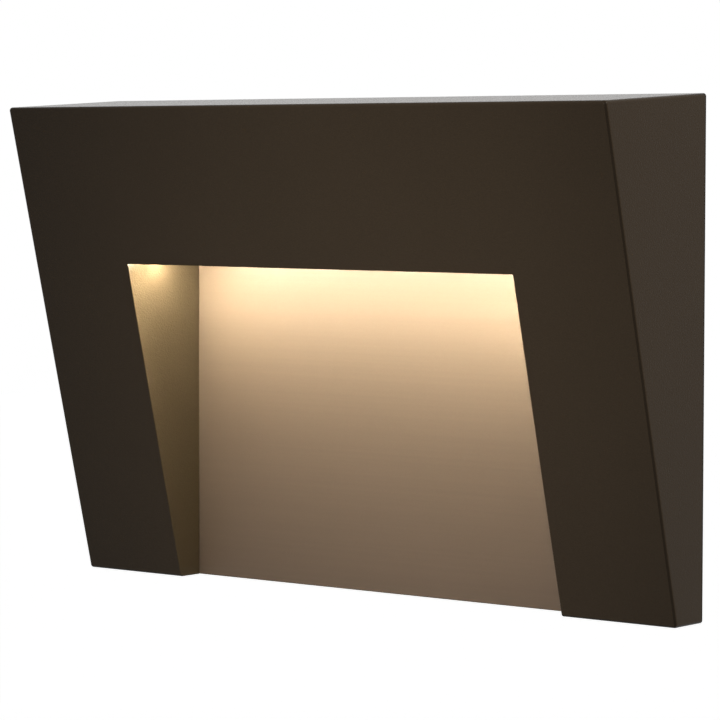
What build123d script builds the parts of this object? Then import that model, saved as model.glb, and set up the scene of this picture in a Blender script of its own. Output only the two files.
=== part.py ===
from build123d import *

import os
from math import atan2, cos, radians, sin, tan

# Deck light for a wall or a step riser: a tapered die-cast housing whose open recess is washed from
# above by a hidden strip of LEDs. Millimetres. X runs along the wall, Y into the wall and Z up.
# The origin is on the wall, midway between the slots for the two wall screws.

# Outer form of the housing
housing_width = 114.3
housing_height = 76.2
top_depth = 25.4
foot_depth = 6.85
top_fall = 1.4
edge_radius = 0.5
opening_width = 74.4
head_height = 25.9
opening_edge_radius = 0.15

# Walls of the casting
shell_wall = 2.2
foot_wall = 3.2
web_wall = 2.0
ceiling_wall = 2.2

# Clearances
fit_gap = 0.4
web_gap = 0.3
seat_gap = 0.1
thread_gap = 0.05
solder_gap = 0.05
cut_margin = 5.0
search_margin = 0.05

# Wall gasket and mounting plate
gasket_thickness = 1.0
gasket_inset = 0.6
gasket_band = 3.0
plate_thickness = 1.2
plate_corner_radius = 1.0
slot_length = 6.6
slot_radius = 2.2
wire_hole_radius = 5.0
tongue_width = 6.0
tongue_length = 5.0
tab_width = 8.0

# Set screws under the legs
set_screw_radius = 1.5
set_screw_length = 3.0
set_screw_chamfer = 0.4
socket_sides = 6
socket_across_flats = 1.5
socket_depth = 1.4

# Rear cover of the lamp chamber, its gasket and screws
cover_gap = 0.4
cover_thickness = 1.6
cover_corner_radius = 2.5
cover_gasket_thickness = 0.8
rim_height = 2.0
rim_depth = 2.0
boss_radius = 2.6
boss_margin = 0.3
cover_screw_radius = 1.2
cover_screw_head_radius = 2.3
cover_screw_length = 7.0
countersink_angle = 90.0
pilot_spare_depth = 1.0

# Cable grommet in the rear cover
grommet_rise = 7.0
grommet_bore_radius = 1.7
grommet_neck_radius = 2.9
grommet_flange_radius = 4.2
grommet_flange = 1.0
grommet_lip = 0.3

# Lens and LED stack, clamped on the ceiling of the recess
stack_front_gap = 0.4
stack_width = 6.6
ledge_width = 5.0
lens_gasket_thickness = 0.5
lens_flange = 1.5
lens_rim = 1.2
lens_side_gap = 0.25
lens_drop = 0.8
reflector_height = 1.6
led_board_thickness = 1.6
chip_count = 11
chip_length = 3.5
chip_width = 2.8
chip_height = 0.7
pad_thickness = 0.5
pad_inset = 0.4
spreader_thickness = 2.0

# Driver board on the rear cover, its parts and screws
standoff_radius = 2.2
driver_height = 9.6
driver_thickness = 1.2
rectifier_width = 4.0
rectifier_length = 4.6
rectifier_height = 2.4
chip_body = 3.0
chip_body_height = 1.2
inductor_size = 5.4
inductor_height = 4.5
inductor_corner = 0.8
capacitor_radius = 2.4
capacitor_length = 6.5
capacitor_groove = 0.25
capacitor_groove_height = 1.2
terminal_width = 4.6
terminal_height = 4.4
terminal_depth = 5.0
terminal_entry = 1.5
terminal_entry_depth = 2.5
part_gap = 0.9

# Small pan-head screws of the heat spreader and the driver board
small_screw_radius = 1.0
spreader_screw_length = 5.0
small_head_radius = 1.8
small_head_height = 1.3
small_head_rounding = 0.3
cross_width = 0.5
cross_depth = 0.7

# Leads from the driver board to the LED board
lead_radius = 0.5
lead_spacing = 1.7
lead_bend = 1.5
lead_lap = 2.6
lead_clearance = 0.2
lead_tab_width = 5.0
lead_tab_length = 1.8

# Places and angles worked out from the sizes above
half_width = housing_width / 2
top_z = housing_height / 2
foot_z = -top_z
opening_half = opening_width / 2
lip_z = top_z - head_height
front_tilt = atan2(top_depth - foot_depth, housing_height - top_fall)
top_tilt = atan2(top_fall, top_depth)


def front_y(z):
    """Y of the sloping front face at this height."""
    return -foot_depth - (z - foot_z) * tan(front_tilt)


def inner_front_y(z):
    """Y of the front wall's inner face at this height."""
    return front_y(z) + shell_wall / cos(front_tilt)


def inner_top_z(y):
    """Z of the top wall's inner face at this distance from the wall."""
    return top_z + y * tan(top_tilt) - shell_wall / cos(top_tilt)


def ceiling_z(y):
    """Z of the ceiling of the recess, which is square to the front face."""
    return lip_z + (y - front_y(lip_z)) * tan(front_tilt)


def wedge_outline(front_inset, top_inset, foot_inset):
    """Side outline of the housing, moved in from its front, top and foot, as (Y, Z) points."""
    low_z = foot_z + foot_inset
    high_z = top_z - top_inset / cos(top_tilt)
    inset_y = front_inset / cos(front_tilt)
    drop = 1 + tan(top_tilt) * tan(front_tilt)
    corner_y = (front_y(high_z) + inset_y) / drop
    corner_z = high_z + corner_y * tan(top_tilt)
    return [(0, low_z), (front_y(low_z) + inset_y, low_z), (corner_y, corner_z), (0, high_z)]


def side_face(points, x=0):
    """Face with this (Y, Z) outline, at this X."""
    with BuildSketch(Plane.YZ.offset(x)) as face:
        with BuildLine():
            Polyline(*points, close=True)
        make_face()
    return face.sketch


# Depths from the wall, counted towards the front
plate_front = gasket_thickness + plate_thickness
web_rear = plate_front + web_gap
cover_rear = plate_front + cover_gap
cover_front = cover_rear + cover_thickness
cover_seat = cover_front + cover_gasket_thickness
rim_front = cover_seat + rim_depth

# Heights and widths of the lamp chamber and its cover
ceiling_rise = ceiling_wall / cos(front_tilt)
chamber_floor_z = ceiling_z(-web_rear) + ceiling_rise
cover_bottom = chamber_floor_z + fit_gap
cover_top = inner_top_z(-cover_front) - fit_gap
cover_middle = (cover_bottom + cover_top) / 2
grommet_z = cover_bottom + grommet_rise
web_middle = opening_half + web_wall / 2
web_outside = opening_half + web_wall
boss_x = web_outside + boss_margin + boss_radius
boss_rib = boss_radius + boss_margin + web_wall
cover_half = boss_x + boss_radius
boss_heights = (cover_bottom + boss_radius, cover_top - boss_radius)
boss_places = [(side * boss_x, z) for side in (-1, 1) for z in boss_heights]
cover_screw_cone = cover_screw_head_radius - cover_screw_radius
cover_screw_head_height = cover_screw_cone / tan(radians(countersink_angle / 2))

# Mounting plate: outline inside the casting, with a tail behind the recess down to the foot
plate_half = half_width - shell_wall - fit_gap
tail_half = web_middle
tongue_front = plate_front + tongue_length
plate_top = inner_top_z(-tongue_front) - seat_gap
tab_bottom = foot_z + foot_wall + seat_gap
tab_front = -inner_front_y(tab_bottom) - fit_gap
plate_outline = [
    (-tail_half, foot_z),
    (tail_half, foot_z),
    (tail_half, tab_bottom),
    (plate_half, tab_bottom),
    (plate_half, plate_top),
    (-plate_half, plate_top),
    (-plate_half, tab_bottom),
    (-tail_half, tab_bottom),
]
pocket_middle = (web_outside + half_width - shell_wall) / 2
tongue_x = (cover_half + plate_half) / 2
set_screw_y = -(plate_front + tab_front) / 2
set_screw_tip = tab_bottom - seat_gap / 2

# Lamp plane: X along the light, Y square to the front face and Z up along it, from the recess's lip
lamp_plane = Plane(
    origin=(0, front_y(lip_z), lip_z),
    x_dir=(1, 0, 0),
    z_dir=(0, -sin(front_tilt), cos(front_tilt)),
)
stack_front = shell_wall + stack_front_gap
stack_middle = stack_front + stack_width / 2
stack_rear = stack_front + stack_width
stack_half = opening_half - fit_gap
window_half = stack_half - lens_rim
window_width = stack_width - 2 * lens_rim
lens_base = ceiling_wall + lens_gasket_thickness
reflector_base = lens_base + lens_flange
board_base = reflector_base + reflector_height
pad_base = board_base + led_board_thickness
spreader_base = pad_base + pad_thickness
spreader_top = spreader_base + spreader_thickness
ledge_reach = ledge_width + web_wall / 2
ledge_front = stack_rear + fit_gap
ledge_rear = (spreader_base * sin(front_tilt) - rim_front - front_y(lip_z)) / cos(front_tilt)
ledge_middle = (ledge_front + ledge_rear) / 2
ear_width = ledge_width - fit_gap
ear_x = stack_half - ear_width / 2

# Leads rise from a tab behind the LED board, and the driver board stands close behind them on the cover
lead_level = pad_base + lead_radius + solder_gap
lead_start = stack_rear + fit_gap
lead_turn = stack_rear + lead_tab_length + lead_clearance
lead_rise_y = lamp_plane.from_local_coords(Vector(0, lead_turn, lead_level)).Y
driver_front = -lead_rise_y - lead_radius - solder_gap
driver_rear = driver_front - driver_thickness
standoff_length = driver_rear - cover_front
driver_screw_length = driver_thickness + standoff_length

# Driver board: hung on the cover, just below the rim, on the right of the grommet
driver_left = grommet_flange_radius + fit_gap
driver_top = cover_top - rim_height - fit_gap
driver_bottom = driver_top - driver_height
driver_screw_z = driver_bottom + standoff_radius
terminal_x = driver_left + (part_gap + terminal_width) / 2
terminal_z = driver_top - (part_gap + terminal_height) / 2
rectifier_x = terminal_x + terminal_width / 2 + part_gap + rectifier_width / 2
rectifier_z = driver_top - (part_gap + rectifier_length) / 2
driver_chip_z = rectifier_z - (rectifier_length + part_gap + chip_body) / 2
inductor_x = rectifier_x + rectifier_width / 2 + part_gap + inductor_size / 2
inductor_z = driver_top - (part_gap + inductor_size) / 2
capacitor_x = inductor_x + inductor_size / 2 + part_gap + capacitor_radius
capacitor_z = driver_top - part_gap / 2 - capacitor_radius
driver_right = capacitor_x + capacitor_radius + part_gap / 2
driver_screw_places = [(terminal_x, driver_screw_z), (capacitor_x, driver_screw_z)]

os.makedirs("parts", exist_ok=True)

# Webs inside the casting: two side webs, the ceiling of the recess, the cover's rim and screw bosses,
# and two ledges behind the lamp for the heat spreader, all trimmed to end inside the outer walls.
with BuildPart() as webs:
    web_outline = [
        (-web_rear, foot_z),
        (-top_depth, foot_z),
        (-top_depth, top_z),
        (-cover_seat, top_z),
        (-cover_seat, chamber_floor_z),
        (-web_rear, chamber_floor_z),
    ]
    for side in (-1, 1):
        extrude(side_face(web_outline, side * web_middle), amount=web_wall / 2, both=True)
    ceiling_outline = [
        (-web_rear, ceiling_z(-web_rear)),
        (-top_depth, ceiling_z(-top_depth)),
        (-top_depth, ceiling_z(-top_depth) + ceiling_rise),
        (-web_rear, chamber_floor_z),
    ]
    extrude(side_face(ceiling_outline), amount=web_middle, both=True)
    rim_root = ceiling_z(-cover_seat) + ceiling_rise / 2
    for low_z, high_z in ((rim_root, cover_bottom + rim_height), (cover_top - rim_height, top_z)):
        rim_outline = [
            (-cover_seat, low_z),
            (-rim_front, low_z),
            (-rim_front, high_z),
            (-cover_seat, high_z),
        ]
        extrude(side_face(rim_outline), amount=web_middle, both=True)
    with BuildSketch(Plane.XZ.offset(cover_front)):
        with Locations(*boss_places):
            Circle(boss_radius)
    extrude(amount=top_depth)
    with BuildSketch(Plane.XZ.offset(cover_seat)):
        for side in (-1, 1):
            for z in boss_heights:
                with Locations((side * (web_middle + boss_rib / 2), z)):
                    Rectangle(boss_rib, boss_radius)
    extrude(amount=top_depth)
    with BuildSketch(lamp_plane.offset(ceiling_wall / 2)):
        for side in (-1, 1):
            with Locations((side * (web_middle - ledge_reach / 2), ledge_middle)):
                Rectangle(ledge_reach, ledge_rear - ledge_front)
    extrude(amount=spreader_base - ceiling_wall / 2)
    trim_outline = wedge_outline(shell_wall / 2, shell_wall / 2, foot_wall / 2)
    extrude(
        side_face(trim_outline),
        amount=half_width - shell_wall / 2,
        both=True,
        mode=Mode.INTERSECT,
    )

# Housing: tapered shell, open at the back, with the recess cut out of its front and foot
with BuildPart() as housing:
    extrude(side_face(wedge_outline(0, 0, 0)), amount=half_width, both=True)
    back_edges = housing.edges().group_by(Axis.Y)[-1]
    fillet(housing.edges() - back_edges, edge_radius)
    cavity_outline = wedge_outline(shell_wall, shell_wall, foot_wall)
    extrude(
        side_face(cavity_outline),
        amount=half_width - shell_wall,
        both=True,
        mode=Mode.SUBTRACT,
    )
    past_front = -top_depth - cut_margin
    opening_outline = [
        (0, foot_z - cut_margin),
        (past_front, foot_z - cut_margin),
        (past_front, ceiling_z(past_front)),
        (0, ceiling_z(0)),
    ]
    extrude(side_face(opening_outline), amount=opening_half, both=True, mode=Mode.SUBTRACT)
    add(webs.part)
    opening_edges = housing.edges().filter_by(
        lambda edge: abs(edge.center().Y - front_y(edge.center().Z)) < search_margin
        and abs(edge.center().X) < opening_half + search_margin
    )
    fillet(opening_edges, opening_edge_radius)
    with BuildSketch(lamp_plane):
        with Locations((0, stack_middle)):
            Rectangle(2 * window_half, window_width)
    extrude(amount=ceiling_wall, mode=Mode.SUBTRACT)
    with BuildSketch(Plane.XZ.offset(cover_front)):
        with Locations(*boss_places):
            Circle(cover_screw_radius + thread_gap)
    extrude(amount=cover_screw_length - cover_thickness + pilot_spare_depth, mode=Mode.SUBTRACT)
    with BuildSketch(lamp_plane.offset(spreader_base)):
        with Locations((-ear_x, ledge_middle), (ear_x, ledge_middle)):
            Circle(small_screw_radius + thread_gap)
    extrude(amount=spreader_thickness - spreader_screw_length, mode=Mode.SUBTRACT)
    with BuildSketch(Plane.XY.offset(foot_z)):
        Rectangle(2 * (tail_half + web_gap), web_rear, align=(Align.CENTER, Align.MAX))
        with Locations((-pocket_middle, set_screw_y), (pocket_middle, set_screw_y)):
            Circle(set_screw_radius + thread_gap)
    extrude(amount=foot_wall, mode=Mode.SUBTRACT)
housing.part.label = "housing"
export_step(housing.part, "parts/housing.step")

# Mounting plate: sheet metal, screwed to the wall through two slots, with two tongues folded forward
# that the housing's top wall hangs on and two tabs folded forward that the set screws bear on
with BuildPart() as mounting_plate:
    with BuildSketch(Plane.XZ.offset(gasket_thickness)) as plate_face:
        with BuildLine():
            Polyline(*plate_outline, close=True)
        make_face()
        fillet(plate_face.vertices().group_by(Axis.Y)[-1], plate_corner_radius)
        with Locations((-pocket_middle, 0), (pocket_middle, 0)):
            SlotOverall(slot_length, 2 * slot_radius, mode=Mode.SUBTRACT)
        with Locations((0, grommet_z)):
            Circle(wire_hole_radius, mode=Mode.SUBTRACT)
    extrude(amount=plate_thickness)
    with BuildSketch(Plane.XZ.offset(gasket_thickness)):
        with Locations((-tongue_x, plate_top), (tongue_x, plate_top)):
            Rectangle(tongue_width, plate_thickness, align=(Align.CENTER, Align.MAX))
    extrude(amount=plate_thickness + tongue_length)
    with BuildSketch(Plane.XZ.offset(gasket_thickness)):
        with Locations((-pocket_middle, tab_bottom), (pocket_middle, tab_bottom)):
            Rectangle(tab_width, plate_thickness, align=(Align.CENTER, Align.MIN))
    extrude(amount=tab_front - gasket_thickness)
mounting_plate.part.label = "mounting_plate"
export_step(mounting_plate.part, "parts/mounting_plate.step")

# Wall gasket: a band of closed-cell foam stuck round the back of the mounting plate
with BuildPart() as wall_gasket:
    with BuildSketch(Plane.XZ):
        with BuildLine():
            Polyline(*plate_outline, close=True)
        make_face()
        offset(amount=-gasket_inset, kind=Kind.INTERSECTION, mode=Mode.REPLACE)
        offset(amount=-gasket_band, kind=Kind.INTERSECTION, mode=Mode.SUBTRACT)
    extrude(amount=gasket_thickness)
wall_gasket.part.label = "wall_gasket"
export_step(wall_gasket.part, "parts/wall_gasket.step")

# Set screws: socket set screws in the feet of the legs, whose flat tips bear on the plate's tabs
for side, side_name in ((-1, "left"), (1, "right")):
    screw_plane = Plane(origin=(side * pocket_middle, set_screw_y, set_screw_tip))
    with BuildPart() as set_screw:
        with BuildSketch(screw_plane):
            Circle(set_screw_radius)
        extrude(amount=-set_screw_length)
        chamfer(set_screw.edges().filter_by(GeomType.CIRCLE), set_screw_chamfer)
        with BuildSketch(screw_plane.offset(-set_screw_length)):
            RegularPolygon(socket_across_flats / 2, socket_sides, major_radius=False)
        extrude(amount=socket_depth, mode=Mode.SUBTRACT)
    set_screw.part.label = f"set_screw_{side_name}"
    export_step(set_screw.part, f"parts/set_screw_{side_name}.step")

# Lens gasket: a silicone frame round the window in the ceiling
with BuildPart() as lens_gasket:
    with BuildSketch(lamp_plane.offset(ceiling_wall)):
        with Locations((0, stack_middle)):
            Rectangle(2 * stack_half, stack_width)
            Rectangle(2 * window_half, window_width, mode=Mode.SUBTRACT)
    extrude(amount=lens_gasket_thickness)
lens_gasket.part.label = "lens_gasket"
export_step(lens_gasket.part, "parts/lens_gasket.step")

# Lens: opal plastic, a flange on the gasket and a bar that comes down through the window
with BuildPart() as lens:
    with BuildSketch(lamp_plane.offset(lens_base)):
        with Locations((0, stack_middle)):
            Rectangle(2 * stack_half, stack_width)
    extrude(amount=lens_flange)
    with BuildSketch(lamp_plane.offset(-lens_drop)):
        with Locations((0, stack_middle)):
            Rectangle(2 * (window_half - lens_side_gap), window_width - 2 * lens_side_gap)
    extrude(amount=lens_base + lens_drop)
lens.part.label = "lens"
export_step(lens.part, "parts/lens.step")

# Reflector frame: a white plastic spacer between the lens and the LED board
with BuildPart() as reflector_frame:
    with BuildSketch(lamp_plane.offset(reflector_base)):
        with Locations((0, stack_middle)):
            Rectangle(2 * stack_half, stack_width)
            Rectangle(2 * window_half, window_width, mode=Mode.SUBTRACT)
    extrude(amount=reflector_height)
reflector_frame.part.label = "reflector_frame"
export_step(reflector_frame.part, "parts/reflector_frame.step")

# LED board: a white laminate strip whose LEDs face down, with a tab behind it for the leads
with BuildPart() as led_board:
    with BuildSketch(lamp_plane.offset(board_base)):
        with Locations((0, stack_middle)):
            Rectangle(2 * stack_half, stack_width)
        with Locations((inductor_x, stack_rear)):
            Rectangle(lead_tab_width, lead_tab_length, align=(Align.CENTER, Align.MIN))
    extrude(amount=led_board_thickness)
led_board.part.label = "led_board"
export_step(led_board.part, "parts/led_board.step")

# LED chips: a row along the underside of the LED board
with BuildPart() as led_chips:
    with BuildSketch(lamp_plane.offset(board_base)):
        with Locations((0, stack_middle)):
            with GridLocations(2 * window_half / chip_count, 0, chip_count, 1):
                Rectangle(chip_length, chip_width)
    extrude(amount=-chip_height)
led_chips.part.label = "led_chips"
export_step(led_chips.part, "parts/led_chips.step")

# Thermal pad: soft silicone between the LED board and the heat spreader
with BuildPart() as thermal_pad:
    with BuildSketch(lamp_plane.offset(pad_base)):
        with Locations((0, stack_middle)):
            Rectangle(2 * (stack_half - pad_inset), stack_width - 2 * pad_inset)
    extrude(amount=pad_thickness)
thermal_pad.part.label = "thermal_pad"
export_step(thermal_pad.part, "parts/thermal_pad.step")

# Heat spreader: an aluminium bar across the chamber, with an ear at each end screwed to a ledge
with BuildPart() as heat_spreader:
    with BuildSketch(lamp_plane.offset(spreader_base)):
        with Locations((0, stack_middle)):
            Rectangle(2 * stack_half, stack_width)
        with Locations((-ear_x, stack_middle), (ear_x, stack_middle)):
            Rectangle(ear_width, ledge_rear - stack_middle, align=(Align.CENTER, Align.MIN))
        with Locations((-ear_x, ledge_middle), (ear_x, ledge_middle)):
            Circle(small_screw_radius + seat_gap, mode=Mode.SUBTRACT)
    extrude(amount=spreader_thickness)
heat_spreader.part.label = "heat_spreader"
export_step(heat_spreader.part, "parts/heat_spreader.step")


def cross_recess(reach, top):
    """Two crossed slots of this reach, cut down from this height above the plane in use."""
    with Locations((0, 0, top)):
        for length, width in ((reach, cross_width), (cross_width, reach)):
            Box(
                length,
                width,
                cross_depth,
                align=(Align.CENTER, Align.CENTER, Align.MAX),
                mode=Mode.SUBTRACT,
            )


def pan_head_screws(seats, length):
    """Pan-head screws of this length, one on each seat plane, whose shanks run against its Z."""
    with BuildPart() as screws:
        with Locations(*seats):
            Cylinder(
                small_screw_radius,
                length,
                align=(Align.CENTER, Align.CENTER, Align.MAX),
            )
            Cylinder(
                small_head_radius,
                small_head_height,
                align=(Align.CENTER, Align.CENTER, Align.MIN),
            )
        round_edges = screws.edges().filter_by(GeomType.CIRCLE)
        head_edges = round_edges.filter_by(lambda edge: edge.radius > small_screw_radius)
        fillet(head_edges, small_head_rounding)
        with Locations(*seats):
            cross_recess(small_head_radius, small_head_height)
    return screws


spreader_seats = [
    Plane(lamp_plane.offset(spreader_top).location * Location((side * ear_x, ledge_middle, 0)))
    for side in (-1, 1)
]
spreader_screws = pan_head_screws(spreader_seats, spreader_screw_length)
spreader_screws.part.label = "spreader_screws"
export_step(spreader_screws.part, "parts/spreader_screws.step")

# Rear cover: closes the lamp chamber from behind and carries the driver board on two standoffs
cover_screw_seats = [Plane(origin=(x, -cover_rear, z), z_dir=(0, 1, 0)) for x, z in boss_places]
with BuildPart() as rear_cover:
    with BuildSketch(Plane.XZ.offset(cover_rear)):
        with Locations((0, cover_middle)):
            RectangleRounded(2 * cover_half, cover_top - cover_bottom, cover_corner_radius)
        with Locations((0, grommet_z)):
            Circle(grommet_neck_radius + thread_gap, mode=Mode.SUBTRACT)
    extrude(amount=cover_thickness)
    with BuildSketch(Plane.XZ.offset(cover_front)):
        with Locations(*driver_screw_places):
            Circle(standoff_radius)
    extrude(amount=standoff_length)
    with BuildSketch(Plane.XZ.offset(driver_rear)):
        with Locations(*driver_screw_places):
            Circle(small_screw_radius + thread_gap)
    extrude(amount=-standoff_length, mode=Mode.SUBTRACT)
    with Locations(*cover_screw_seats):
        CounterSinkHole(
            cover_screw_radius + seat_gap,
            cover_screw_head_radius + thread_gap,
            depth=cover_thickness,
            counter_sink_angle=countersink_angle,
        )
rear_cover.part.label = "rear_cover"
export_step(rear_cover.part, "parts/rear_cover.step")

# Cover gasket: a silicone frame between the cover and the rim of the lamp chamber
with BuildPart() as cover_gasket:
    with BuildSketch(Plane.XZ.offset(cover_front)):
        with Locations((0, cover_middle)):
            Rectangle(2 * web_outside, cover_top - cover_bottom)
            Rectangle(opening_width, cover_top - cover_bottom - 2 * rim_height, mode=Mode.SUBTRACT)
    extrude(amount=cover_gasket_thickness)
cover_gasket.part.label = "cover_gasket"
export_step(cover_gasket.part, "parts/cover_gasket.step")

# Cover screws: countersunk, flush with the back of the cover
with BuildPart() as cover_screws:
    with Locations(*cover_screw_seats):
        Cylinder(
            cover_screw_radius,
            cover_screw_length,
            align=(Align.CENTER, Align.CENTER, Align.MAX),
        )
        Cone(
            cover_screw_radius,
            cover_screw_head_radius,
            cover_screw_head_height,
            align=(Align.CENTER, Align.CENTER, Align.MAX),
        )
        cross_recess(cover_screw_head_radius, 0)
cover_screws.part.label = "cover_screws"
export_step(cover_screws.part, "parts/cover_screws.step")

# Cable grommet: a rubber ring snapped into the cover, the inlet for the supply cord
with BuildPart() as cable_grommet:
    grommet_rear = cover_rear - grommet_lip
    grommet_length = grommet_lip + cover_thickness + grommet_flange
    with BuildSketch(Plane.XZ.offset(grommet_rear)):
        with Locations((0, grommet_z)):
            Circle(grommet_neck_radius)
    extrude(amount=grommet_length)
    for flange_rear, thickness in ((grommet_rear, grommet_lip), (cover_front, grommet_flange)):
        with BuildSketch(Plane.XZ.offset(flange_rear)):
            with Locations((0, grommet_z)):
                Circle(grommet_flange_radius)
        extrude(amount=thickness)
    inner_rim = cable_grommet.edges().filter_by(GeomType.CIRCLE).group_by(Axis.Y)[0]
    fillet(inner_rim, grommet_flange / 2)
    with BuildSketch(Plane.XZ.offset(grommet_rear)):
        with Locations((0, grommet_z)):
            Circle(grommet_bore_radius)
    extrude(amount=grommet_length, mode=Mode.SUBTRACT)
cable_grommet.part.label = "cable_grommet"
export_step(cable_grommet.part, "parts/cable_grommet.step")

# Driver board: turns the supply into a steady current for the LEDs
with BuildPart() as driver_board:
    with BuildSketch(Plane.XZ.offset(driver_rear)):
        with Locations((driver_left, driver_bottom)):
            Rectangle(driver_right - driver_left, driver_height, align=(Align.MIN, Align.MIN))
        with Locations(*driver_screw_places):
            Circle(small_screw_radius + seat_gap, mode=Mode.SUBTRACT)
    extrude(amount=driver_thickness)
driver_board.part.label = "driver_board"
export_step(driver_board.part, "parts/driver_board.step")

# Driver screws: hold the board on the cover's standoffs
driver_screw_seats = [
    Plane(origin=(x, -driver_front, z), z_dir=(0, -1, 0)) for x, z in driver_screw_places
]
driver_screws = pan_head_screws(driver_screw_seats, driver_screw_length)
driver_screws.part.label = "driver_screws"
export_step(driver_screws.part, "parts/driver_screws.step")

# Bridge rectifier: a flat moulded block
with BuildPart() as bridge_rectifier:
    with BuildSketch(Plane.XZ.offset(driver_front)):
        with Locations((rectifier_x, rectifier_z)):
            Rectangle(rectifier_width, rectifier_length)
    extrude(amount=rectifier_height)
bridge_rectifier.part.label = "bridge_rectifier"
export_step(bridge_rectifier.part, "parts/bridge_rectifier.step")

# Driver chip: the current regulator, below the rectifier
with BuildPart() as driver_chip:
    with BuildSketch(Plane.XZ.offset(driver_front)):
        with Locations((rectifier_x, driver_chip_z)):
            Rectangle(chip_body, chip_body)
    extrude(amount=chip_body_height)
driver_chip.part.label = "driver_chip"
export_step(driver_chip.part, "parts/driver_chip.step")

# Inductor: a moulded block with rounded corners
with BuildPart() as inductor:
    with BuildSketch(Plane.XZ.offset(driver_front)):
        with Locations((inductor_x, inductor_z)):
            RectangleRounded(inductor_size, inductor_size, inductor_corner)
    extrude(amount=inductor_height)
inductor.part.label = "inductor"
export_step(inductor.part, "parts/inductor.step")

# Smoothing capacitor: a small can that stands on the board, with a rolled groove near its foot
with BuildPart() as smoothing_capacitor:
    with BuildSketch(Plane.XZ.offset(driver_front)):
        with Locations((capacitor_x, capacitor_z)):
            Circle(capacitor_radius)
    extrude(amount=capacitor_length)
    with BuildSketch(Plane.XZ.offset(driver_front + capacitor_groove_height)):
        with Locations((capacitor_x, capacitor_z)):
            Circle(capacitor_radius)
            Circle(capacitor_radius - capacitor_groove, mode=Mode.SUBTRACT)
    extrude(amount=capacitor_groove, mode=Mode.SUBTRACT)
smoothing_capacitor.part.label = "smoothing_capacitor"
export_step(smoothing_capacitor.part, "parts/smoothing_capacitor.step")

# Input terminal: takes the two supply wires, pushed in from the side that faces the grommet
with BuildPart() as input_terminal:
    with BuildSketch(Plane.XZ.offset(driver_front)):
        with Locations((terminal_x, terminal_z)):
            Rectangle(terminal_width, terminal_height)
    extrude(amount=terminal_depth)
    entry_face = Plane(
        origin=(terminal_x - terminal_width / 2, -driver_front - terminal_depth / 2, terminal_z),
        x_dir=(0, 0, 1),
        z_dir=(-1, 0, 0),
    )
    with BuildSketch(entry_face):
        with GridLocations(terminal_height / 2, 0, 2, 1):
            Rectangle(terminal_entry, terminal_entry)
    extrude(amount=-terminal_entry_depth, mode=Mode.SUBTRACT)
input_terminal.part.label = "input_terminal"
export_step(input_terminal.part, "parts/input_terminal.step")

# Leads: laid on the LED board's tab, bent up and laid on the driver board
for place, lead_name in ((-1, "positive"), (1, "negative")):
    lead_x = inductor_x + place * lead_spacing / 2
    tab_end = lamp_plane.from_local_coords(Vector(lead_x, lead_start, lead_level))
    turn = lamp_plane.from_local_coords(Vector(lead_x, lead_turn, lead_level))
    board_end = Vector(lead_x, lead_rise_y, driver_bottom + lead_lap)
    with BuildPart() as led_lead:
        with BuildLine() as lead_route:
            FilletPolyline(tab_end, turn, board_end, radius=lead_bend)
        with BuildSketch(Plane(origin=lead_route.line @ 0, z_dir=lead_route.line % 0)):
            Circle(lead_radius)
        sweep(path=lead_route.line)
    led_lead.part.label = f"led_lead_{lead_name}"
    export_step(led_lead.part, f"parts/led_lead_{lead_name}.step")
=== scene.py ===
from math import cos, pi, radians, sin

import bmesh
import bpy
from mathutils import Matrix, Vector


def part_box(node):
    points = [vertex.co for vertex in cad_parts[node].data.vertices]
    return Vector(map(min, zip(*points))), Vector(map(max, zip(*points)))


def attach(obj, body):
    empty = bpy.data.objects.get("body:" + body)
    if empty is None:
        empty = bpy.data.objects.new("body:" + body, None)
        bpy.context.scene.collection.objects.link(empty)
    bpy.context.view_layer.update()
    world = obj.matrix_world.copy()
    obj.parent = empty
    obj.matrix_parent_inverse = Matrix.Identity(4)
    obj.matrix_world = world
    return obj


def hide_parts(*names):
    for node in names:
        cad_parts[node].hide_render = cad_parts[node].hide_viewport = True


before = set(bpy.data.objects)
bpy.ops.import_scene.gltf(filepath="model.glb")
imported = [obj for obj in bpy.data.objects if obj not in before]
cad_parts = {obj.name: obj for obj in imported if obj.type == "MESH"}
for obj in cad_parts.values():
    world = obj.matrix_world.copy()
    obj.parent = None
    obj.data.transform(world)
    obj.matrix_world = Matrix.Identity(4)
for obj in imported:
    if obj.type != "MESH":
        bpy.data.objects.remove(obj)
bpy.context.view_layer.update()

# Mounting plate: sheet aluminium, cut and folded, with a bronze powder coat like the housing's.
# Two screws through its slots fix it, and its middle is the back of the recess that the lamp lights.
# Its edges are slightly rounded under the coat, and rolling has left faint streaks along it.
plate_dark = (0.0567, 0.0387, 0.0266, 1)
plate_pale = (0.0721, 0.0492, 0.0342, 1)
streak_share = 0.6
plate_rounding = 0.0002
weld_reach = 1e-6
flat_angle = radians(0.5)
sharp_angle = radians(40)


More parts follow.
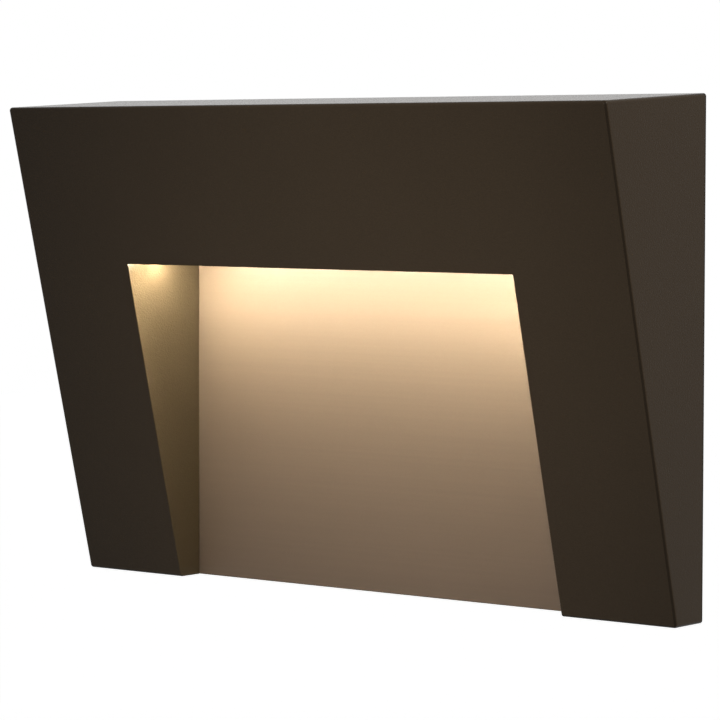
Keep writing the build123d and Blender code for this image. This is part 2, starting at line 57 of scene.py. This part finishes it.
class Wire:
    """An output socket in a finish's node tree; sums with it add Math nodes."""

    def __init__(self, tree, socket=None):
        self.tree = tree
        self.socket = socket

    def node(self, kind, settings=None, inputs=None, output=0):
        """Adds a node: its settings first, then the values or links of its inputs."""
        made = self.tree.nodes.new(kind)
        for name, value in (settings or {}).items():
            setattr(made, name, value)
        for name, value in (inputs or {}).items():
            if isinstance(value, Wire):
                self.tree.links.new(value.socket, made.inputs[name])
            else:
                made.inputs[name].default_value = value
        return Wire(self.tree, made.outputs[output])

    def twin(self, output):
        """Another output of the same node."""
        return Wire(self.tree, self.socket.node.outputs[output])

    def feed(self, shader, name):
        """Links this socket to one of the shader's inputs."""
        self.tree.links.new(self.socket, shader.inputs[name])

    def math(self, operation, other=0.0):
        """A Math node on this value, and on another one where the operation takes two."""
        return self.node("ShaderNodeMath", {"operation": operation}, {0: self, 1: other})

    def __add__(self, other):
        return self.math("ADD", other)

    def __sub__(self, other):
        return self.math("SUBTRACT", other)

    def __rsub__(self, other):
        return self.node("ShaderNodeMath", {"operation": "SUBTRACT"}, {0: other, 1: self})

    def __mul__(self, other):
        return self.math("MULTIPLY", other)

    def __lt__(self, other):
        return self.math("LESS_THAN", other)

    def __gt__(self, other):
        return self.math("GREATER_THAN", other)

    def __abs__(self):
        return self.math("ABSOLUTE")

    __radd__ = __add__
    __rmul__ = __mul__

    def spread(self, low, high):
        """The number as far from low to high as this value says."""
        return self * (high - low) + low

    def between(self, low, high):
        """The colour as far from low to high as this value says."""
        # A Mix node's colours are its sockets 6 and 7, and its mixed colour is output 2
        inputs = {0: self, 6: low, 7: high}
        return self.node("ShaderNodeMix", {"data_type": "RGBA"}, inputs, output=2)

    def split(self):
        """The three coordinates of this place."""
        across = self.node("ShaderNodeSeparateXYZ", inputs={"Vector": self})
        return across, across.twin("Y"), across.twin("Z")

    def noise(self, scale, detail=2.0, stretch=(1.0, 1.0, 1.0)):
        """Noise on these coordinates, its scale in features a metre, stretched along the axes."""
        places = self.node("ShaderNodeMapping", inputs={"Vector": self, "Scale": stretch})
        inputs = {"Vector": places, "Scale": scale, "Detail": detail}
        return self.node("ShaderNodeTexNoise", inputs=inputs)

    def cells(self, scale):
        """Distances to the middles of scattered cells, their scale in cells a metre."""
        return self.node("ShaderNodeTexVoronoi", inputs={"Vector": self, "Scale": scale})

    def bump(self, height, strength):
        """A normal that follows this value as a relief of this height in metres."""
        inputs = {"Height": self, "Distance": height, "Strength": strength}
        return self.node("ShaderNodeBump", inputs=inputs)


def new_finish(name, **constants):
    """A material whose shader has these constants, with its Object coordinates."""
    material = bpy.data.materials.new(name)
    material.use_nodes = True
    shader = material.node_tree.nodes["Principled BSDF"]
    for socket, value in constants.items():
        shader.inputs[socket.replace("_", " ")].default_value = value
    place = Wire(material.node_tree).node("ShaderNodeTexCoord", output="Object")
    return material, shader, place


def select_only(piece):
    """Leaves this piece alone selected, and active."""
    bpy.ops.object.select_all(action="DESELECT")
    piece.select_set(True)
    bpy.context.view_layer.objects.active = piece


def merged_copy(node, name):
    """A copy of a piece of the frame to work on, with its doubles merged and its flat faces whole."""
    piece = bpy.data.objects.new(name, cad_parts[node].data.copy())
    bpy.context.scene.collection.objects.link(piece)
    select_only(piece)
    bpy.ops.object.mode_set(mode="EDIT")
    bpy.ops.mesh.select_all(action="SELECT")
    bpy.ops.mesh.remove_doubles(threshold=weld_reach)
    bpy.ops.mesh.dissolve_limited(angle_limit=flat_angle)
    bpy.ops.object.mode_set(mode="OBJECT")
    return piece


def round_edges(piece, radius):
    """Rounds every sharp edge of the piece, and keeps its flat faces flat to look at."""
    select_only(piece)
    rounding = piece.modifiers.new("rounding", "BEVEL")
    rounding.width = radius
    rounding.segments = 3
    rounding.limit_method = "ANGLE"
    rounding.angle_limit = sharp_angle
    bpy.ops.object.modifier_apply(modifier=rounding.name)
    bpy.ops.object.mode_set(mode="EDIT")
    bpy.ops.mesh.select_all(action="SELECT")
    bpy.ops.mesh.remove_doubles(threshold=weld_reach)
    bpy.ops.object.mode_set(mode="OBJECT")
    bpy.ops.object.shade_smooth_by_angle(angle=sharp_angle)
    flats = piece.modifiers.new("flats", "WEIGHTED_NORMAL")
    flats.weight = 100
    flats.keep_sharp = True
    bpy.ops.object.modifier_apply(modifier=flats.name)


def finish_piece(piece, material, body, node):
    """Dresses a new piece, which rides on this body in place of this node of the frame."""
    piece.data.materials.clear()
    piece.data.materials.append(material)
    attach(piece, body)
    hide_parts(node)


plate_coat, shader, place = new_finish("plate_coat", Specular_IOR_Level=0.15)
streaks = place.noise(scale=60.0, detail=4.0, stretch=(0.25, 1.0, 28.0))
grain = place.noise(scale=5200.0)
tone = streaks * streak_share + grain * (1 - streak_share)
tone.between(plate_dark, plate_pale).feed(shader, "Base Color")
streaks.spread(0.42, 0.54).feed(shader, "Roughness")
grain.bump(height=0.00004, strength=0.3).feed(shader, "Normal")

folded_plate = merged_copy("mounting_plate", "folded_mounting_plate")
round_edges(folded_plate, plate_rounding)
finish_piece(folded_plate, plate_coat, "base", "mounting_plate")

# Wall gasket: a band of black closed-cell foam, cut from sheet and soft at its edges.
# It is stuck round the back of the mounting plate, and is pressed when the plate's screws are tightened.
foam_dark = (0.008, 0.008, 0.008, 1)
foam_pale = (0.03, 0.03, 0.031, 1)
foam_rounding = 0.00035

foam, shader, place = new_finish("foam", Specular_IOR_Level=0.2)
bubbles = place.cells(scale=2600.0)
bubbles.between(foam_dark, foam_pale).feed(shader, "Base Color")
bubbles.spread(0.95, 0.8).feed(shader, "Roughness")
bubbles.bump(height=0.00015, strength=0.6).feed(shader, "Normal")

foam_band = merged_copy("wall_gasket", "foam_wall_gasket")
round_edges(foam_band, foam_rounding)
finish_piece(foam_band, foam, "base", "wall_gasket")

# Housing: one aluminium die casting with a fine sandy bronze powder coat, with painted shade darkening
# its edges.
# It hangs on the mounting plate's tongues and is clamped by the two set screws.
lip_y = -0.019324
lip_z = 0.0122
front_tilt = radians(13.929)
bronze_dark = (0.018, 0.012, 0.0066, 1)
bronze_pale = (0.032, 0.022, 0.013, 1)
# Painted shade: the darker colour painted along the casting's edges
bronze_edge_shade = (0.012, 0.008, 0.0045, 1)
sand_share = 0.75
edge_reach = 0.0003
more_than_one = 1.5


def lamp_axes(place):
    """Places along the light, back from its front face and up from the recess's ceiling."""
    along, deep, high = place.split()
    depth = deep - lip_y
    rise = high - lip_z
    back = depth * cos(front_tilt) + rise * sin(front_tilt)
    up = rise * cos(front_tilt) - depth * sin(front_tilt)
    return along, back, up


def dress(material, *nodes):
    """Gives these pieces of the frame this finish."""
    for node in nodes:
        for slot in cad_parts[node].material_slots:
            slot.material = material


bronze_coat, shader, place = new_finish("bronze_coat", Specular_IOR_Level=0.05)
sand = place.noise(scale=4200.0, detail=3.0)
drift = place.noise(scale=45.0)
tone = sand * sand_share + drift * (1 - sand_share)
coat = tone.between(bronze_dark, bronze_pale)

# Painted shade: an edge is where the surface is close to two of the casting's faces at once, and its
# colour is darkened there
housing_low, housing_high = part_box("housing")
along, deep, high = place.split()
back = lamp_axes(place)[1]
at_front = back < edge_reach
at_rear = deep > housing_high[1] - edge_reach
at_sides = abs(along) > housing_high[0] - edge_reach
at_top = high > housing_high[2] - edge_reach
at_foot = high < housing_low[2] + edge_reach
edges = (at_front + at_rear + at_sides + at_top + at_foot) > more_than_one
edges.between(coat, bronze_edge_shade).feed(shader, "Base Color")
sand.spread(0.15, 0.25).feed(shader, "Roughness")
sand.bump(height=0.00008, strength=0.6).feed(shader, "Normal")
dress(bronze_coat, "housing")

# Lens and gaskets: an opal plastic bar, moulded with a flange, that comes down through the ceiling.
# The heat spreader clamps it on a die-cut frame of grey silicone, and the rear cover's gasket is cut
# from the same sheet. The bar's front, and its ends towards the rear, pass the most light.
silicone_dark = (0.26, 0.26, 0.25, 1)
silicone_pale = (0.38, 0.38, 0.36, 1)
opal_dark = (0.8, 0.77, 0.7, 1)
opal_pale = (0.88, 0.86, 0.8, 1)
unlit = (0, 0, 0, 1)
lamp_light = (1.0, 0.985, 0.79, 1)
led_count = 11
led_row = 0.0712
led_pitch = led_row / led_count
bar_front = 0.00405
bar_rear = 0.00775
bar_half = 0.03535
bar_drop = 0.0008
face_reach = 0.00005
even_glow = 0.124
tip_glow = 0.34
rear_glow = 0.175

silicone, shader, place = new_finish("silicone", Specular_IOR_Level=0.3)
bloom = place.noise(scale=700.0)
bloom.between(silicone_dark, silicone_pale).feed(shader, "Base Color")
bloom.spread(0.55, 0.75).feed(shader, "Roughness")
dress(silicone, "lens_gasket", "cover_gasket")

opal, shader, place = new_finish("opal", Emission_Strength=1120.0)
along, back, up = lamp_axes(place)
spots = (along * (2 * pi / led_pitch)).math("COSINE").spread(0.92, 1.0)
squared = along * along * (1 / bar_half ** 2)
tips = squared * squared * squared * squared
underside = up < face_reach - bar_drop
sides = (up < 0.0) * (up > face_reach - bar_drop)
front_face = back < bar_front + face_reach
rear_face = back > bar_rear - face_reach
end_faces = abs(along) > bar_half - face_reach
rearward = (back - bar_front) * (1 / (bar_rear - bar_front))
glow = underside * spots * (tips * tip_glow + even_glow)
glow = glow + sides * (front_face + rear_face * rear_glow + end_faces * rearward)
glow.between(unlit, lamp_light).feed(shader, "Emission Color")
frost = place.noise(scale=2500.0)
frost.between(opal_dark, opal_pale).feed(shader, "Base Color")
frost.spread(0.35, 0.55).feed(shader, "Roughness")
dress(opal, "lens")

# Reflector frame: a moulded spacer of white plastic between the lens and the LED board.
# It throws the LEDs' side light back down, and is held by the clamped stack alone.
plastic_dark = (0.74, 0.73, 0.69, 1)
plastic_pale = (0.84, 0.83, 0.8, 1)

white_plastic, shader, place = new_finish("white_plastic", Specular_IOR_Level=0.4)
flow = place.noise(scale=260.0, detail=3.0)
flow.between(plastic_dark, plastic_pale).feed(shader, "Base Color")
flow.spread(0.36, 0.56).feed(shader, "Roughness")
place.noise(scale=9000.0).bump(height=0.00001, strength=0.2).feed(shader, "Normal")
dress(white_plastic, "reflector_frame")

# LED board and its LEDs: a laminate strip under white solder mask, bare at its sawn edges.
# Each LED is a white package with a yellow phosphor window, soldered to the underside.
board_under = 0.0058
board_over = 0.0074
mask_thickness = 0.00004
mask_dark = (0.72, 0.73, 0.7, 1)
mask_pale = (0.82, 0.82, 0.79, 1)
core_dark = (0.3, 0.25, 0.12, 1)
core_pale = (0.46, 0.4, 0.22, 1)
lamp_middle = 0.0059
led_skirt = 0.0006
phosphor_reach = 0.00115
package_white = (0.8, 0.79, 0.75, 1)
phosphor_dark = (0.75, 0.5, 0.06, 1)
phosphor_pale = (0.9, 0.68, 0.16, 1)
phosphor_light = (1.0, 0.86, 0.5, 1)

board_mask, shader, place = new_finish("board_mask", Specular_IOR_Level=0.45)
up = lamp_axes(place)[2]
sawn = (up > board_under + mask_thickness) * (up < board_over - mask_thickness)
fibres = place.noise(scale=2400.0, detail=4.0, stretch=(0.2, 1.0, 4.0))
mask_tone = place.noise(scale=500.0).between(mask_dark, mask_pale)
core_tone = fibres.between(core_dark, core_pale)
sawn.between(mask_tone, core_tone).feed(shader, "Base Color")
(sawn.spread(0.3, 0.65) + fibres.spread(0.0, 0.1)).feed(shader, "Roughness")
dress(board_mask, "led_board")

led_package, shader, place = new_finish("led_package", Emission_Strength=3.0)
along, back, up = lamp_axes(place)
lengthways = (along + led_pitch / 2).math("FLOORED_MODULO", led_pitch) - led_pitch / 2
sideways = back - lamp_middle
from_middle = (lengthways * lengthways + sideways * sideways).math("SQRT")
window = (from_middle < phosphor_reach) * (up < board_under - led_skirt)
crystals = place.noise(scale=14000.0)
phosphor = crystals.between(phosphor_dark, phosphor_pale)
window.between(package_white, phosphor).feed(shader, "Base Color")
window.between(unlit, phosphor_light).feed(shader, "Emission Color")
crystals.spread(0.4, 0.65).feed(shader, "Roughness")
dress(led_package, "led_chips")

# Thermal pad: a soft sheet of grey-blue silicone, woven through with glass, cut to a strip.
# It lies between the LED board and the heat spreader, which squeezes it.
pad_dark = (0.2, 0.24, 0.29, 1)
pad_pale = (0.34, 0.38, 0.44, 1)

soft_pad, shader, place = new_finish("soft_pad", Specular_IOR_Level=0.25)
weft = place.noise(scale=3200.0, stretch=(0.1, 1.0, 1.0))
warp = place.noise(scale=3200.0, stretch=(1.0, 0.1, 0.1))
weave = (weft + warp) * 0.5
weave.between(pad_dark, pad_pale).feed(shader, "Base Color")
weave.spread(0.65, 0.85).feed(shader, "Roughness")
weave.bump(height=0.00005, strength=0.5).feed(shader, "Normal")
dress(soft_pad, "thermal_pad")

# Heat spreader: an extruded aluminium bar with an ear at each end, left bare and brushed.
# Two screws hold it down on the ledges of the casting, with the lamp under it.
brushed_dark = (0.62, 0.62, 0.63, 1)
brushed_pale = (0.82, 0.82, 0.83, 1)

brushed, shader, place = new_finish("brushed_aluminium", Metallic=1.0)
lines = place.noise(scale=1800.0, detail=5.0, stretch=(0.02, 1.0, 1.0))
lines.between(brushed_dark, brushed_pale).feed(shader, "Base Color")
lines.spread(0.24, 0.49).feed(shader, "Roughness")
lines.bump(height=0.00002, strength=0.35).feed(shader, "Normal")
dress(brushed, "heat_spreader")

# Small screws: steel, cold headed and zinc plated, with cross recesses.
# They hold the heat spreader and the driver board down, and the rear cover on its bosses.
zinc_dark = (0.52, 0.53, 0.55, 1)
zinc_pale = (0.74, 0.74, 0.73, 1)

zinc, shader, place = new_finish("zinc_plate", Metallic=1.0)
spangle = place.cells(scale=1900.0)
spangle.between(zinc_dark, zinc_pale).feed(shader, "Base Color")
spangle.spread(0.24, 0.44).feed(shader, "Roughness")
dress(zinc, "spreader_screws", "driver_screws", "cover_screws")

# Rear cover: a stamped aluminium lid, tumbled to a dull satin, with two pressed-in standoffs.
# Four countersunk screws close it on its gasket, over the bosses of the casting.
satin_dark = (0.55, 0.55, 0.56, 1)
satin_pale = (0.7, 0.7, 0.7, 1)

satin, shader, place = new_finish("satin_aluminium", Metallic=1.0)
tumble = place.noise(scale=1500.0, detail=4.0)
tumble.between(satin_dark, satin_pale).feed(shader, "Base Color")
tumble.spread(0.36, 0.56).feed(shader, "Roughness")
tumble.bump(height=0.00003, strength=0.4).feed(shader, "Normal")
dress(satin, "rear_cover")

# Cable grommet: black moulded rubber with rounded lips, dull from the mould's chalk.
# It is pushed into the hole in the rear cover, which sits in the groove between its lips.
rubber_dark = (0.008, 0.008, 0.008, 1)
rubber_pale = (0.03, 0.03, 0.029, 1)
rubber_rounding = 0.0002

rubber, shader, place = new_finish("rubber", Specular_IOR_Level=0.25)
chalk = place.noise(scale=1100.0, detail=4.0)
chalk.between(rubber_dark, rubber_pale).feed(shader, "Base Color")
chalk.spread(0.8, 0.55).feed(shader, "Roughness")
chalk.bump(height=0.00003, strength=0.4).feed(shader, "Normal")

grommet = merged_copy("cable_grommet", "moulded_cable_grommet")
round_edges(grommet, rubber_rounding)
finish_piece(grommet, rubber, "light", "cable_grommet")

# Driver board: glass laminate under green solder mask, screwed to the cover's standoffs.
# Copper tracks raise the mask a little along it, and the sawn edges are bare.
green_dark = (0.006, 0.05, 0.02, 1)
green_pale = (0.012, 0.085, 0.033, 1)
laminate_dark = (0.28, 0.24, 0.1, 1)
laminate_pale = (0.42, 0.37, 0.19, 1)
track_pitch = 0.0009
track_edge = 0.00055
track_wander = 0.002

laminate, shader, place = new_finish("laminate", Specular_IOR_Level=0.5)
board_low, board_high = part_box("driver_board")
deep, high = place.split()[1:]
sawn = (deep > board_low[1] + mask_thickness) * (deep < board_high[1] - mask_thickness)
wandering = high + place.noise(scale=90.0) * track_wander
tracks = wandering.math("PINGPONG", track_pitch) > track_edge
fibres = place.noise(scale=2400.0, detail=4.0, stretch=(1.0, 3.0, 0.3))
mask_tone = tracks.between(green_dark, green_pale)
core_tone = fibres.between(laminate_dark, laminate_pale)
sawn.between(mask_tone, core_tone).feed(shader, "Base Color")
(sawn.spread(0.28, 0.68) + fibres.spread(0.0, 0.08)).feed(shader, "Roughness")
tracks.bump(height=0.00003, strength=0.5).feed(shader, "Normal")
dress(laminate, "driver_board")

# Rectifier, driver chip and inductor: moulded bodies soldered flat on the driver board.
# The first two are black epoxy, and the inductor is pressed from ferrite powder.
epoxy_dark = (0.012, 0.012, 0.013, 1)
epoxy_pale = (0.03, 0.03, 0.031, 1)
ferrite_dark = (0.03, 0.03, 0.032, 1)
ferrite_pale = (0.09, 0.088, 0.085, 1)

epoxy, shader, place = new_finish("black_epoxy", Specular_IOR_Level=0.4)
filler = place.noise(scale=8000.0)
filler.between(epoxy_dark, epoxy_pale).feed(shader, "Base Color")
filler.spread(0.45, 0.65).feed(shader, "Roughness")
filler.bump(height=0.00002, strength=0.4).feed(shader, "Normal")
dress(epoxy, "bridge_rectifier", "driver_chip")

ferrite, shader, place = new_finish("ferrite", Specular_IOR_Level=0.4)
powder = place.cells(scale=5200.0)
powder.between(ferrite_dark, ferrite_pale).feed(shader, "Base Color")
powder.spread(0.62, 0.42).feed(shader, "Roughness")
powder.bump(height=0.00004, strength=0.5).feed(shader, "Normal")
dress(ferrite, "inductor")

# Smoothing capacitor: an aluminium can in a dark shrunk sleeve, with a pale stripe down one side.
# It stands on the driver board, soldered by its two legs, and the sleeve leaves its end bare.
sleeve_dark = (0.012, 0.013, 0.02, 1)
sleeve_stripe = (0.4, 0.4, 0.42, 1)
bare_can = (0.7, 0.7, 0.7, 1)
bare_reach = 0.0002
stripe_drop = 0.0019

sleeve, shader, place = new_finish("sleeved_can", Specular_IOR_Level=0.5)
can_low, can_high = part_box("smoothing_capacitor")
can_middle_z = (can_low[2] + can_high[2]) / 2
deep, high = place.split()[1:]
bare_end = deep < can_low[1] + bare_reach
stripe = high < can_middle_z - stripe_drop
wrap = place.noise(scale=600.0)
sleeve_tone = stripe.between(sleeve_dark, sleeve_stripe)
bare_end.between(sleeve_tone, bare_can).feed(shader, "Base Color")
bare_end.feed(shader, "Metallic")
wrap.spread(0.25, 0.45).feed(shader, "Roughness")
dress(sleeve, "smoothing_capacitor")

# Input terminal: two wire cages in a moulded block, soldered to the driver board beside the grommet.
# Its plastic is the same white as the reflector frame's.
dress(white_plastic, "input_terminal")

# Leads: two insulated wires, red and black, whose stripped and tinned ends are soldered down,
# one end on the LED board's tab and the other on the driver board.
red_dark = (0.3, 0.008, 0.006, 1)
red_pale = (0.5, 0.02, 0.015, 1)
black_dark = (0.008, 0.008, 0.008, 1)
black_pale = (0.025, 0.025, 0.025, 1)
tin = (0.62, 0.62, 0.6, 1)
upper_strip = 0.0008
lower_strip = 0.0006

for node, dark, pale in (
    ("led_lead_positive", red_dark, red_pale),
    ("led_lead_negative", black_dark, black_pale),
):
    insulation, shader, place = new_finish(node + "_insulation", Specular_IOR_Level=0.5)
    lead_low, lead_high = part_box(node)
    deep, high = place.split()[1:]
    upper_end = high > lead_high[2] - upper_strip
    lower_end = deep < lead_low[1] + lower_strip
    tinned = upper_end.math("MAXIMUM", lower_end)
    drawn = place.noise(scale=900.0, detail=3.0)
    tinned.between(drawn.between(dark, pale), tin).feed(shader, "Base Color")
    tinned.feed(shader, "Metallic")
    drawn.spread(0.3, 0.5).feed(shader, "Roughness")
    dress(insulation, node)

# Set screws: socket set screws of blackened steel, one up through the foot of each leg.
# Their threads are rolled and their hexagon sockets broached, and a key turns them from below.
# They press on the mounting plate's tabs, which holds the housing.
steel_dark = (0.05, 0.047, 0.044, 1)
steel_pale = (0.11, 0.105, 0.1, 1)
screw_radius = 0.00148
thread_pitch = 0.0005
thread_depth = 0.00027
thread_root = screw_radius - thread_depth
thread_middle = thread_root + thread_depth / 2
crest_share = 0.2
turns = 8
steps = 32
end_chamfer = 0.00035
socket_sides = 6
socket_radius = 0.000866
socket_depth = 0.0014
drill_radius = 0.0006
drill_depth = 0.0003
cut_reach = 1e-7
sliver_reach = 4e-6
end_facing = 0.5
thread_angle = radians(30)

black_steel, shader, place = new_finish("black_steel", Metallic=1.0)
rolled = place.noise(scale=900.0, detail=3.0, stretch=(1.0, 1.0, 6.0))
rolled.between(steel_dark, steel_pale).feed(shader, "Base Color")
rolled.spread(0.3, 0.5).feed(shader, "Roughness")


def pick_vertices(piece, wanted):
    """In edit mode, selects the vertices whose place is wanted, and the edges and faces between them."""
    shape = bmesh.from_edit_mesh(piece.data)
    shape.select_mode = {"VERT"}
    for vertex in shape.verts:
        vertex.select_set(wanted(vertex.co))
    shape.select_flush_mode()
    bmesh.update_edit_mesh(piece.data)


def pick_faces(piece, wanted):
    """In edit mode, selects just the faces that are wanted."""
    bpy.ops.mesh.select_mode(type="FACE")
    shape = bmesh.from_edit_mesh(piece.data)
    for face in shape.faces:
        face.select_set(wanted(face))
    bmesh.update_edit_mesh(piece.data)


def cut_with(piece, tool, operation):
    """Cuts the piece with this tool, and throws the tool away."""
    select_only(piece)
    cut = piece.modifiers.new("cut", "BOOLEAN")
    cut.operation = operation
    cut.solver = "EXACT"
    cut.object = tool
    bpy.ops.object.modifier_apply(modifier=cut.name)
    bpy.data.objects.remove(tool)


# The thread's profile is drawn at its start, just below the screw
screw_low, screw_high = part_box("set_screw_left")
thread_start = screw_low[2] - thread_pitch / 2
bpy.ops.object.select_all(action="DESELECT")
bpy.ops.mesh.primitive_plane_add(size=1.0, rotation=(pi / 2, 0, 0))
left_screw = bpy.context.object
left_screw.name = "threaded_set_screw_left"
left_screw.scale = (thread_depth, thread_pitch, 1.0)
left_screw.location = (thread_middle, 0, thread_start)
bpy.ops.object.transform_apply(location=True, rotation=True, scale=True)
bpy.ops.object.mode_set(mode="EDIT")
bpy.ops.mesh.delete(type="ONLY_FACE")
bpy.ops.mesh.select_mode(type="VERT")
pick_vertices(left_screw, lambda spot: spot.x < thread_middle)
bpy.ops.mesh.delete(type="EDGE")
pick_vertices(left_screw, lambda spot: spot.x > thread_middle)
bpy.ops.transform.resize(value=(1, 1, crest_share), center_override=(0, 0, thread_start))
bpy.ops.object.mode_set(mode="OBJECT")

# It is wound up past the screw's top, and both ends are trimmed square
winding = left_screw.modifiers.new("thread", "SCREW")
winding.axis = "Z"
winding.screw_offset = thread_pitch
winding.iterations = turns
winding.steps = steps
winding.render_steps = steps
bpy.ops.object.modifier_apply(modifier=winding.name)
bpy.ops.object.mode_set(mode="EDIT")
bpy.ops.mesh.select_all(action="SELECT")
bpy.ops.mesh.remove_doubles(threshold=cut_reach)
for level, inner, outer in ((screw_low[2], True, False), (screw_high[2], False, True)):
    bpy.ops.mesh.select_all(action="SELECT")
    bpy.ops.mesh.bisect(
        plane_co=(0, 0, level),
        plane_no=(0, 0, 1),
        use_fill=True,
        clear_inner=inner,
        clear_outer=outer,
        threshold=cut_reach,
    )
bpy.ops.mesh.select_all(action="SELECT")
bpy.ops.mesh.normals_make_consistent(inside=False)
bpy.ops.object.mode_set(mode="OBJECT")

# Both ends are chamfered
bpy.ops.object.select_all(action="DESELECT")
bpy.ops.mesh.primitive_cylinder_add(
    vertices=2 * steps,
    radius=screw_radius + thread_depth,
    depth=screw_high[2] - screw_low[2],
    location=(0, 0, (screw_low[2] + screw_high[2]) / 2),
)
blank = bpy.context.object
bpy.ops.object.transform_apply(location=True)
bpy.ops.object.mode_set(mode="EDIT")
pick_faces(blank, lambda face: abs(face.normal.z) > end_facing)
bpy.ops.mesh.bevel(offset=end_chamfer + thread_depth, affect="EDGES")
bpy.ops.object.mode_set(mode="OBJECT")
cut_with(left_screw, blank, "INTERSECT")

# The socket is sunk into the lower end, to the bottom of its drilled hole
bpy.ops.object.select_all(action="DESELECT")
bpy.ops.mesh.primitive_cylinder_add(
    vertices=socket_sides,
    radius=socket_radius,
    depth=2 * socket_depth,
    location=(0, 0, screw_low[2]),
)
broach = bpy.context.object
bpy.ops.object.transform_apply(location=True)
bpy.ops.object.mode_set(mode="EDIT")
pick_faces(broach, lambda face: face.normal.z > end_facing)
bpy.ops.mesh.inset(thickness=socket_radius - drill_radius)
bpy.ops.transform.translate(value=(0, 0, drill_depth))
bpy.ops.object.mode_set(mode="OBJECT")
cut_with(left_screw, broach, "DIFFERENCE")
bpy.ops.object.mode_set(mode="EDIT")
bpy.ops.mesh.select_all(action="SELECT")
bpy.ops.mesh.remove_doubles(threshold=sliver_reach)
bpy.ops.mesh.normals_make_consistent(inside=False)
bpy.ops.object.mode_set(mode="OBJECT")
bpy.ops.object.shade_smooth_by_angle(angle=thread_angle)

select_only(left_screw)
bpy.ops.object.duplicate()
right_screw = bpy.context.object
right_screw.name = "threaded_set_screw_right"
for screw, node, body in (
    (left_screw, "set_screw_left", "left_screw"),
    (right_screw, "set_screw_right", "right_screw"),
):
    node_low, node_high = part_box(node)
    screw.location = ((node_low[0] + node_high[0]) / 2, (node_low[1] + node_high[1]) / 2, 0)
    select_only(screw)
    bpy.ops.object.transform_apply(location=True)
    finish_piece(screw, black_steel, body, node)

# Plain studio: a pale floor some way below the light, and white all round.
# What the camera sees of them is brighter than the light that they throw on the object.
floor_drop = 0.3
floor_size = 6.0
floor_grey = (0.8, 0.8, 0.8, 1)
white = (1, 1, 1, 1)
room_grey = (0.35, 0.35, 0.35, 1)


def shown_rays(start):
    """One for what is seen, directly or in gloss or glass, and zero for light on the object."""
    seen = start.node("ShaderNodeLightPath", output="Is Camera Ray")
    return seen + seen.twin("Is Glossy Ray") + seen.twin("Is Transmission Ray")


bpy.ops.object.select_all(action="DESELECT")
bpy.ops.mesh.primitive_plane_add(size=floor_size, location=(0, 0, -floor_drop))
floor = bpy.context.object
floor.name = "floor"
pale_floor, shader, place = new_finish(
    "pale_floor",
    Base_Color=floor_grey,
    Roughness=0.9,
    Specular_IOR_Level=0.1,
    Emission_Strength=0.7,
)
shown_rays(place).between(unlit, white).feed(shader, "Emission Color")
floor.data.materials.append(pale_floor)

world = bpy.data.worlds.new("studio")
bpy.context.scene.world = world
world.use_nodes = True
background = world.node_tree.nodes["Background"]
shown_rays(Wire(world.node_tree)).between(room_grey, white).feed(background, "Color")

# Studio lamps: a warm softbox on the right, level with the top, for the right side,
# and a soft spot from the front that brightens the middle of the front face.
softbox_place = (0.32, 0.03, 0.2)
softbox_tint = (1.0, 0.96, 0.88)
spot_place = (0.1, -0.58, 0.18)
spot_aim = Vector((0.015, -0.02, 0.006))

bpy.ops.object.light_add(type="AREA", location=softbox_place)
softbox = bpy.context.object
softbox.name = "right_softbox"
softbox.data.size = 0.2
softbox.data.energy = 1.35
softbox.data.color = softbox_tint
softbox.rotation_euler = (-softbox.location).to_track_quat("-Z", "Y").to_euler()

bpy.ops.object.light_add(type="SPOT", location=spot_place)
spot = bpy.context.object
spot.name = "front_spot"
spot.data.spot_size = radians(16)
spot.data.spot_blend = 1.0
spot.data.shadow_soft_size = 0.04
spot.data.energy = 18.5
spot.rotation_euler = (spot_aim - spot.location).to_track_quat("-Z", "Y").to_euler()

# Camera: the photograph's own view, from the right and a little above, through a long lens.
# Its place, turn and lens come from a fit to the straight edges of the housing.
camera_place = (0.316962, -0.403309, 0.028452)
camera_fall = radians(3.427)
camera_roll = radians(-0.0715)
camera_turn = radians(38.698)

bpy.ops.object.camera_add(
    location=camera_place,
    rotation=(pi / 2 - camera_fall, camera_roll, camera_turn),
)
camera = bpy.context.object
camera.data.sensor_width = 36.0
camera.data.lens = 166.750
bpy.context.scene.camera = camera
bpy.context.scene.view_settings.view_transform = "Standard"
